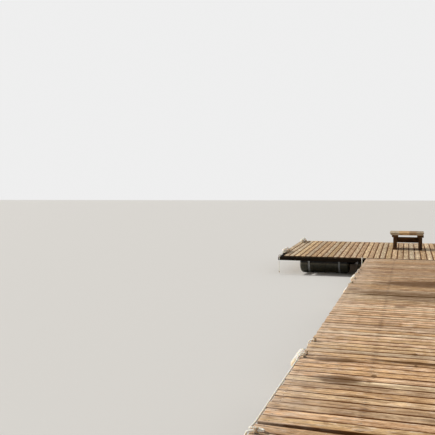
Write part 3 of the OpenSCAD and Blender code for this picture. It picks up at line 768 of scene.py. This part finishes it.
def tone_of(rng, spread=1.0):
    """Tone of a piece of wood: its warmth, kind of hue and lightness."""
    warm, kind, light = rng.random(3)
    return (warm, kind, min(1.0, max(0.0, 0.5 + spread * (light - 0.5))))


def stand_back(i, end):
    """How far an end of board i stands back from the deck's edge."""
    return STAGGER * (0.5 + 0.5 * math.sin(math.radians(137 * i + 61 * end)))


def turned(profile, sides):
    """Shape about Z through rings of (radius, z), closed at the last."""
    points = [(r * math.cos(a), r * math.sin(a), z) for r, z in profile for a in circle(sides)]
    last = (len(profile) - 1) * sides
    return points, ring_faces(len(profile), sides, "open") + [[last + k for k in range(sides)]]


def nail_head(radius=NAIL_R):
    """Low domed nail head on z = 0."""
    return turned(((radius, -0.0015), (radius, 0.0003), (radius * 0.6, 0.0009)), 8)


def bolt_head():
    """Washer and hexagonal head of a bolt on z = 0."""
    washer = ((WASHER_R, 0.0), (WASHER_R, WASHER_T), (BOLT_R * 0.8, WASHER_T))
    head = ((BOLT_R, WASHER_T), (BOLT_R, BOLT_H - BOLT_CHAMFER), (BOLT_R * 0.86, BOLT_H))
    return turned(washer, 20), turned(head, 6)


def nail_board(nails, rng, place, cup, runs, scatter):
    """Two nails at each run along a board."""
    for run in runs:
        for t in (-NAIL_T, NAIL_T):
            spot = (run + rng.normal(0, scatter), t + rng.normal(0, NAIL_SCATTER), -cup * 0.3)
            nails.add_plain(*nail_head(), place @ shift(*spot))


def walkway_deck(i, material, nails):
    """Boards and nails of one bay."""
    rng = np.random.default_rng(100 + i)
    pile = Pile()
    for k in range(BAY_BOARDS):
        left, right = stand_back(k, 0), stand_back(k, 1)
        cup = rng.uniform(*CUP)
        shape = plank(BAY_W - left - right, DRAWN_W, BOARD_T, rng, cup=cup)
        middle = (left - right) / 2
        place = (BAYS[i] @ shift(middle, k * PITCH + BOARD_W / 2, -rng.uniform(*SUNK))
                 @ turn(rng.uniform(-WALKWAY_TILT, WALKWAY_TILT), "Y")
                 @ turn(rng.uniform(-WALKWAY_TWIST, WALKWAY_TWIST), "X"))
        pile.add(*shape, place, tone_of(rng, TONE_SPREAD[i]))
        nail_board(nails, rng, place, cup, [x - middle for x in STRINGERS_X], WALKWAY_SCATTER)
    pile.piece("boards_bay_%d" % i, material, "deck_boards", "deck_bay_%d" % i)


def platform_deck(material, nails):
    """Boards and nails of the platform. The left end board is broken off at the front."""
    rng = np.random.default_rng(200)
    pile = Pile()
    for k in range(PLATFORM_BOARDS):
        front = BROKEN if k == 0 else stand_back(k, 0) / 2
        back = stand_back(k, 1)
        jag = BROKEN_JAG if k == 0 else 0.0
        cup = rng.uniform(*CUP)
        shape = plank(PLATFORM_L - front - back, DRAWN_W, BOARD_T, rng, cup=cup, jag=jag)
        middle = (front + PLATFORM_L - back) / 2
        place = (PLATFORM @ shift(k * PITCH + BOARD_W / 2 - PLATFORM_HALF, middle, -rng.uniform(*SUNK))
                 @ turn(90, "Z") @ turn(rng.uniform(-PLATFORM_TILT, PLATFORM_TILT), "Y")
                 @ turn(rng.uniform(-PLATFORM_TWIST, PLATFORM_TWIST), "X"))
        pile.add(*shape, place, tone_of(rng))
        runs = [y - middle for y in PLATFORM_NAILS_Y if y > front]
        nail_board(nails, rng, place, cup, runs, NAIL_SCATTER)
    pile.piece("boards_platform", material, "deck_boards", "platform_deck")


def timbers(name, section, beams, material, node, seed):
    """Frame timbers, each as (x and y of its middle, length, whether it runs along Y)."""
    rng = np.random.default_rng(seed)
    pile = Pile()
    for x, y, length, lengthways in beams:
        place = section @ shift(x, y, FRAME_TOP) @ turn(90 if lengthways else 0, "Z")
        pile.add_plank(place, rng, length, BEAM_W, BEAM_H, edge=0.005, spacing=0.25, cup=0.0006, wear=0.0006)
    pile.piece(name, material, "frame_timber", node)


def frame_timbers(material):
    """Timbers of the bays and of the platform."""
    stringers = [(x, BAY_L / 2, BAY_L - 2 * BEAM_W, True) for x in STRINGERS_X]
    ends = [(0, y, 2 * OUTER_X + BEAM_W, False) for y in (BEAM_W / 2, BAY_L - BEAM_W / 2)]
    for i in BAYS:
        timbers("stringer_timbers_%d" % i, BAYS[i], stringers, material, "stringers_bay_%d" % i, 300 + i)
        timbers("end_timbers_%d" % i, BAYS[i], ends, material, "end_beams_bay_%d" % i, 310 + i)
    edge = [(0, y, 2 * PLATFORM_HALF, False) for y in (BEAM_W / 2 - PROUD, PLATFORM_L + PROUD - BEAM_W / 2)]
    timbers("platform_edge_timbers", PLATFORM, edge, material, "platform_edge_beams", 320)
    run = PLATFORM_L - 2 * (BEAM_W - PROUD)
    ends = [(x, PLATFORM_L / 2, run, True) for x in (BEAM_W / 2 - PLATFORM_HALF, PLATFORM_HALF - BEAM_W / 2)]
    timbers("platform_end_timbers", PLATFORM, ends, material, "platform_end_beams", 321)
    joists = [(0, y, 2 * PLATFORM_HALF - 2 * BEAM_W, False) for y in JOISTS_Y]
    timbers("platform_joist_timbers", PLATFORM, joists, material, "platform_joists", 322)


def bench_seat(here, rng, material, nails):
    """Three planks with sloped ends, nailed to the legs."""
    width = (BENCH_D - (SEAT_PLANKS - 1) * SEAT_GAP) / SEAT_PLANKS
    seat = Pile()
    for k in range(SEAT_PLANKS):
        place = here @ shift(-SEAT_SHIFT, (k - 1) * (width + SEAT_GAP), BENCH_H)
        seat.add_plank(place, rng, BENCH_L, width, SEAT_T, edge=0.006, spacing=0.06, cup=0.002, wear=0.0007,
                       slope=SEAT_BEVEL)
        for side in (-1, 1):
            for t in (-BENCH_NAIL_T, BENCH_NAIL_T):
                x = side * (BENCH_L / 2 - LEG_INSET) + SEAT_SHIFT
                nails.add_plain(*nail_head(BENCH_NAIL_R), place @ shift(x, t, -BENCH_NAIL_SUNK))
    seat.piece("bench_planks", material, "bench_wood", "bench_seat")


def bench_legs(here, rng, material):
    """Two legs of upright blocks, each with a cleat across its top."""
    legs = Pile()
    depth = BENCH_D - 2 * LEG_SETBACK
    post_h = BENCH_H - SEAT_T - CLEAT_H
    part = depth / LEG_PARTS
    for side in (-1, 1):
        x = side * (BENCH_L / 2 - LEG_INSET)
        for k in range(LEG_PARTS):
            place = here @ shift(x + LEG_T / 2, (k - 1) * part, post_h / 2) @ turn(90, "Y")
            legs.add_plank(place, rng, post_h, part - LEG_SEAM, LEG_T, edge=0.005, spacing=0.06, cup=0.001,
                           wear=0.0006)
        place = here @ shift(x, 0, BENCH_H - SEAT_T) @ turn(90, "Z")
        legs.add_plank(place, rng, depth, CLEAT_W, CLEAT_H, spacing=0.08, cup=0.0)
    legs.piece("bench_blocks", material, "bench_wood", "bench_legs")


def bench_stretcher(here, rng, material):
    """Upright board between the legs."""
    board = Pile()
    run = BENCH_L - 2 * LEG_INSET - LEG_T
    place = here @ shift(0, -STRETCHER_T / 2, STRETCHER_Z + STRETCHER_H / 2) @ turn(90, "X")
    board.add_plank(place, rng, run, STRETCHER_H, STRETCHER_T, spacing=0.08)
    board.piece("bench_board", material, "bench_wood", "bench_stretcher")


def bench(seat_material, dark_material, nails):
    rng = np.random.default_rng(400)
    here = PLATFORM @ shift(BENCH_X, BENCH_Y, 0)
    bench_seat(here, rng, seat_material, nails)
    bench_legs(here, rng, dark_material)
    bench_stretcher(here, rng, dark_material)


def run_along(path):
    """Length of a path up to each of its points."""
    return np.concatenate([[0], np.cumsum(np.linalg.norm(np.diff(path, axis=0), axis=1))])


def smooth_path(points, spacing):
    """Evenly spaced points on a smooth curve through some."""
    given = np.asarray(points, float)
    padded = np.vstack([2 * given[0] - given[1], given, 2 * given[-1] - given[-2]])
    fine = []
    for i in range(1, len(padded) - 2):
        p0, p1, p2, p3 = padded[i - 1:i + 3]
        reach = np.linalg.norm(p2 - p1)
        m1, m2 = ((b - a) / np.linalg.norm(b - a) * reach for a, b in ((p0, p2), (p1, p3)))
        for t in np.linspace(0, 1, 24, endpoint=False):
            fine.append((2 * t ** 3 - 3 * t ** 2 + 1) * p1 + (t ** 3 - 2 * t ** 2 + t) * m1
                        + (3 * t ** 2 - 2 * t ** 3) * p2 + (t ** 3 - t ** 2) * m2)
    fine = np.array(fine + [given[-1]])
    run = run_along(fine)
    count = max(4, int(round(run[-1] / spacing)))
    even = np.linspace(0, run[-1], count + 1)
    return np.stack([np.interp(even, run, fine[:, k]) for k in range(3)], axis=1)


def frames_along(path, closed=False):
    """Two sides at each point of a path, turned as little as possible."""
    ahead = np.roll(path, -1, axis=0) - np.roll(path, 1, axis=0)
    if not closed:
        ahead[0] = path[1] - path[0]
        ahead[-1] = path[-1] - path[-2]
    ahead /= np.linalg.norm(ahead, axis=1)[:, None]
    off_path = [0.3, 0.2, 1.0]
    side = np.cross(ahead[0], off_path)
    sides = []
    for direction in ahead:
        side = side - direction * (side @ direction)
        side = side / np.linalg.norm(side)
        sides.append(side)
    sides = np.array(sides)
    return sides, np.cross(ahead, sides)


def round_path(path, a, b, r, angle):
    """Points round a path at distances r and angles from the two sides a and b."""
    return (path[:, None, :] + (r * np.cos(angle))[:, :, None] * a[:, None, :]
            + (r * np.sin(angle))[:, :, None] * b[:, None, :]).reshape(-1, 3)


def laid_rope(path, radius, sides=15, closed=False):
    """Three-strand rope. Its grain is the place along it, round it and on a strand."""
    a, b = frames_along(path, closed)
    run = run_along(path)
    angle = circle(sides)
    lay = 2 * math.pi * run / (ROPE_LAY * radius)
    lobe = np.abs(np.cos(1.5 * (angle[None, :] - lay[:, None])))
    r = radius * (1 - STRAND_DEPTH + STRAND_DEPTH * lobe ** 0.7)
    along = np.tile(run[:, None], (1, sides))
    around = np.tile(angle[None, :] * radius, (len(path), 1))
    grain = np.stack([along, around, lobe], axis=2)
    faces = ring_faces(len(path), sides, "joined" if closed else "capped")
    return round_path(path, a, b, r, angle), faces, grain.reshape(-1, 3)


def knot(size, radius):
    """Stopper knot pulled tight, as a three-lobed loop of rope about z = 0."""
    t = circle(60)
    x = np.sin(t) + 2 * np.sin(2 * t)
    y = np.cos(t) - 2 * np.cos(2 * t)
    loop = np.stack([x, y, -1.5 * np.sin(3 * t)], axis=1)
    loop_reach = 3.0
    return laid_rope(loop * (size - radius) / loop_reach, radius, 10, True)


def lay_rope(pile, route, place, radius=ROPE_R):
    """Adds a rope to a pile and returns its path."""
    path = smooth_path([place @ Vector(p) for p in route], 0.65 * radius)
    pile.add(*laid_rope(path, radius))
    return path


def tie_knots(pile, route, place, knots, radius=ROPE_R):
    """Adds knots, each given by the number of its point on the route and its size."""
    for number, size in knots:
        ahead = Vector(route[number + 1]) - Vector(route[number - 1])
        facing = ahead.to_track_quat("Z", "Y").to_matrix().to_4x4()
        pile.add(*knot(size, radius * PULLED), place @ shift(*route[number]) @ facing, KNOT_TONE)


def fender_body():
    """Moulded body along Z, with ribs round its shoulders."""
    sides = 32
    collar = EYE_R + EYE_T
    neck_r = EYE_T + 0.004
    shoulder = collar + FENDER_R
    zs = np.concatenate([np.linspace(EYE_R - 0.004, collar, 4), np.linspace(collar + 0.003, shoulder, 16),
                         np.linspace(shoulder + 0.01, FENDER_SPAN / 2, 12)])
    bulge = np.clip((zs - collar) / FENDER_R, 0, 1)
    radii = neck_r + (FENDER_DRAWN_R - neck_r) * np.sqrt(1 - (1 - bulge) ** 2.2)
    ribs = RIB_H * np.exp(-(((zs - collar - FIRST_RIB) % RIB_PITCH) / RIB_W) ** 2)
    radii += ribs * (bulge > 0.1) * (bulge < 0.75)
    zs = np.concatenate([zs, (FENDER_SPAN - zs)[::-1]])
    radii = np.minimum(np.concatenate([radii, radii[::-1]]), FENDER_DRAWN_R)
    angle = circle(sides)
    points = np.stack([radii[:, None] * np.cos(angle), radii[:, None] * np.sin(angle),
                       np.tile(zs[:, None], (1, sides))], axis=2).reshape(-1, 3)
    return points, ring_faces(len(zs), sides)


def fender_eye(z):
    """Ring at an end of a fender, z along it."""
    turns, sides = 28, 12
    angle = circle(turns)
    loop = np.stack([EYE_R * np.cos(angle), 0 * angle, z + EYE_R * np.sin(angle)], axis=1)
    tube_r = np.full((turns, 1), EYE_T)
    points = round_path(loop, *frames_along(loop, True), tube_r, circle(sides))
    return points, ring_faces(turns, sides, "joined")


def add_fender(pile, place, flip=False):
    """Adds a fender along Y, with its yellowed end first or, flipped, last."""
    for points, faces in (fender_body(), fender_eye(0), fender_eye(FENDER_SPAN)):
        share = points[:, 2] / FENDER_SPAN
        grain = np.zeros((len(points), 3))
        grain[:, 0] = 1 - share if flip else share
        pile.add(points, faces, grain, place @ LENGTHWAYS)


def lash(ropes, place, y, plate, eye, eye_z, between):
    """Ties a lanyard from a plate, over the (x, z) points between, to a fender's eye."""
    route = [(plate + 0.018, y, PLATE_HOLE_Z), (plate, y, PLATE_HOLE_Z), (plate - 0.009, y, PLATE_HOLE_Z)]
    route += [(x, y, z) for x, z in between]
    route += [(eye + 0.009, y, eye_z), (eye, y, eye_z), (eye - 0.018, y, eye_z)]
    lay_rope(ropes, route, place)
    tie_knots(ropes, route, place, ((1, PLATE_KNOT_R), (len(route) - 2, EYE_KNOT_R)))


def walkway_fenders(material, ropes):
    """Fenders hung outside the walkway. The near one's far eye is tied to the edge rope."""
    pile = Pile()
    edge = -BAY_W / 2
    plate = edge + PLATE_INSET
    eye = -HANG_X
    for bay, start, depth in WALK_FENDERS:
        add_fender(pile, BAYS[bay] @ shift(eye, start, -depth))
        for y in (start, start + FENDER_SPAN):
            if bay == 1 and y > start:
                continue
            between = ((edge + 0.004, 0.010), (edge - 0.008, 0.004), (edge - 0.016, -0.014),
                       (edge - 0.030, -0.070), (eye + 0.023, 0.020 - depth), (eye + 0.018, 0.006 - depth))
            lash(ropes, BAYS[bay], y, plate, eye, -depth, between)
    pile.piece("fender_bodies_walkway", material, "fender_vinyl", "fenders_walkway")


def platform_fenders(material, ropes):
    """Fenders lashed on the platform's corners. The front ones' near eyes hold the mooring ropes."""
    pile = Pile()
    for place in (PLATFORM, PLATFORM @ MIRROR):
        for x, start in (FRONT_LYING, BACK_LYING):
            eye, plate = -x, PLATE_INSET - x
            add_fender(pile, place @ shift(eye, start, FENDER_R), flip=True)
            for y in (start, start + FENDER_SPAN):
                if (x, y) == FRONT_LYING:
                    continue
                between = ((plate - 0.020, PLATE_HOLE_Z + 0.010), (eye + 0.018, FENDER_R - 0.010))
                lash(ropes, place, y, plate, eye, FENDER_R, between)
    pile.piece("fender_bodies_platform", material, "fender_vinyl", "fenders_platform")


def mooring_ropes(material):
    """Ropes at the platform's corners and beside the walkway."""
    kinds = (("corner_rope_", CORNER_ROUTE, ((2, EYE_KNOT_R), (18, END_KNOT_R)), ROPE_R),
             ("inner_rope_", INNER_ROUTE, ((2, RING_KNOT_R), (11, HEAVY_KNOT_R)), HEAVY_ROPE_R))
    for side, place in (("left", PLATFORM), ("right", PLATFORM @ MIRROR)):
        for name, route, knots, radius in kinds:
            pile, tied = Pile(), Pile()
            path = lay_rope(pile, route, place, radius)
            made = pile.piece(name + side, material, "rope", "mooring_ropes")
            tie_knots(tied, route, place, knots, radius)
            knot_piece = tied.piece(name + side + "_knots", material, "rope")


def edge_rope(material):
    """Rope along the walkway's left edge, from the near fender to a plate on the second bay."""
    pile = Pile()
    lay_rope(pile, EDGE_ROUTE, BAYS[2], EDGE_ROPE_R)
    tie_knots(pile, EDGE_ROUTE, BAYS[2], ((2, EYE_KNOT_R), (11, PLATE_KNOT_R), (30, PLATE_KNOT_R)))
    pile.piece("edge_line", material, "rope", "edge_rope")


def bolts(material):
    """Bolts through the coupling flanges."""
    pile = Pile()
    flanges = [BAYS[i] for i in BAYS] + [PLATFORM @ shift(0, -PROUD, 0)]
    flanges += [BAYS[i] @ shift(0, BAY_L, 0) @ turn(180, "Z") for i in BAYS]
    for place in flanges:
        for x in (-BOLT_X, BOLT_X):
            for z in (-BOLT_Z, BOLT_Z):
                for shape in bolt_head():
                    pile.add_plain(*shape, place @ shift(x, -FLANGE_T, BEAM_MID + z) @ turn(90, "X"))
    pile.piece("bolt_heads", material, "galvanised_steel", smooth_angle=30)


def give_material(material, *nodes):
    for name in nodes:
        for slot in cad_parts[name].material_slots:
            slot.material = material


def per_bay(name):
    """Names of a sub-part's nodes in the bays."""
    return ["%s_bay_%d" % (name, i) for i in BAYS]


# Stage


def floor():
    half = FLOOR_HALF
    corners = [(-half, -half, 0), (half, -half, 0), (half, half, 0), (-half, half, 0)]
    mesh = bpy.data.meshes.new("floor")
    mesh.from_pydata(corners, [], [(0, 1, 2, 3)])
    thing = set_down("floor", mesh)
    paint = Paint("floor_paint", roughness=0.9, specular=0.1)
    paint.give({"Base Color": FLOOR_COLOUR})
    mesh.materials.append(paint.material)


def sky():
    """Soft light from all round. Some kinds of ray see a pale backdrop instead."""
    world = bpy.data.worlds.new("studio")
    bpy.context.scene.world = world
    world.use_nodes = True
    world.node_tree.nodes.clear()
    tree = Nodes(world.node_tree)
    lit = tree.node("Background", {"Color": SKY_COLOUR, "Strength": SKY_STRENGTH})
    seen = tree.node("Background", {"Color": SEEN_SKY})
    shown = 0.0
    for ray in ("Is Camera Ray", "Is Glossy Ray", "Is Transmission Ray"):
        shown = tree.math("MAXIMUM", shown, tree.node("LightPath", {}, out=ray))
    both = tree.node("MixShader", {0: shown, 1: lit, 2: seen})
    tree.node("OutputWorld", {"Surface": both})


def sun():
    """Key light from the left, 29 degrees high."""
    lamp = bpy.data.lights.new("key", "SUN")
    lamp.energy = SUN_STRENGTH
    lamp.angle = math.radians(SUN_SIZE)
    lamp.color = SUN_COLOUR
    set_down("key", lamp).rotation_euler = Vector(SUN_RAYS).to_track_quat("-Z", "Y").to_euler()


def photo_camera():
    view = bpy.data.cameras.new("camera")
    view.lens = CAMERA_LENS
    view.clip_end = 1000
    camera = set_down("camera", view)
    camera.location = (CAMERA_X, DECK_Y - CAMERA_BACK, DECK_Z + CAMERA_UP)
    camera.rotation_euler = (math.radians(90 + CAMERA_PITCH), 0, math.radians(CAMERA_YAW))
    bpy.context.scene.camera = camera
    bpy.context.scene.view_settings.view_transform = "Standard"


# Making of the scene

floor()
sky()
sun()
photo_camera()

rope_paint = rope_fibre()
mooring_ropes(rope_paint)
edge_rope(rope_paint)

platform_nail_runs = tuple(PLATFORM_L / 2 - y for y in PLATFORM_NAILS_Y if y <= PLATFORM_L / 2)
walkway_paint = deck_wood("deck_wood", (OUTER_X, INNER_X), "X", WALKWAY_ENDS, 0.004, bleached=True,
                          marks=MARKS)
platform_paint = deck_wood("platform_wood", platform_nail_runs, "Y", SHADED_PLATFORM_ENDS, -0.001,
                           tint=PLATFORM_TINT)
saddle_paint = plain_wood("saddle_wood", SADDLE_LIGHT, SADDLE_DARK, from_place=True)
nail_paint = zinc("nail_steel", 1.0, NAIL_DARK, NAIL_LIGHT)
zinc_paint = zinc("zinc", 0.5, ZINC_DARK, ZINC_LIGHT)

nail_pile = Pile()
for bay in BAYS:
    walkway_deck(bay, walkway_paint, nail_pile)
platform_deck(platform_paint, nail_pile)
bench(seat_wood(), plain_wood("bench_dark_wood", BENCH_LIGHT, BENCH_DARK), nail_pile)
nail_pile.piece("nail_heads", nail_paint, "galvanised_steel", smooth_angle=180)
# Frame timbers near black: dark damp wood and painted shade
frame_timbers(plain_wood("frame_wood", SHADED_FRAME_PALE, SHADED_FRAME_DARK, specular=0.1))
fender_paint = vinyl()
lanyard_pile = Pile()
walkway_fenders(fender_paint, lanyard_pile)
platform_fenders(fender_paint, lanyard_pile)
lanyard_pile.piece("lanyards", rope_paint, "rope", "fender_lanyards")
bolts(zinc_paint)

give_material(saddle_paint, *per_bay("saddles"), "platform_saddles")
give_material(float_plastic(), *per_bay("floats"), "near_floats", "far_floats")
give_material(zinc_paint, *per_bay("straps"), "platform_straps")
give_material(zinc_paint, "shore_fork", "coupling_forks", "coupling_eyes", "coupling_pins")
give_material(zinc("rusty_steel", 0.7, EYE_DARK, EYE_LIGHT), "rope_eyes", "mooring_rings")
give_material(rubber(), "buffers")
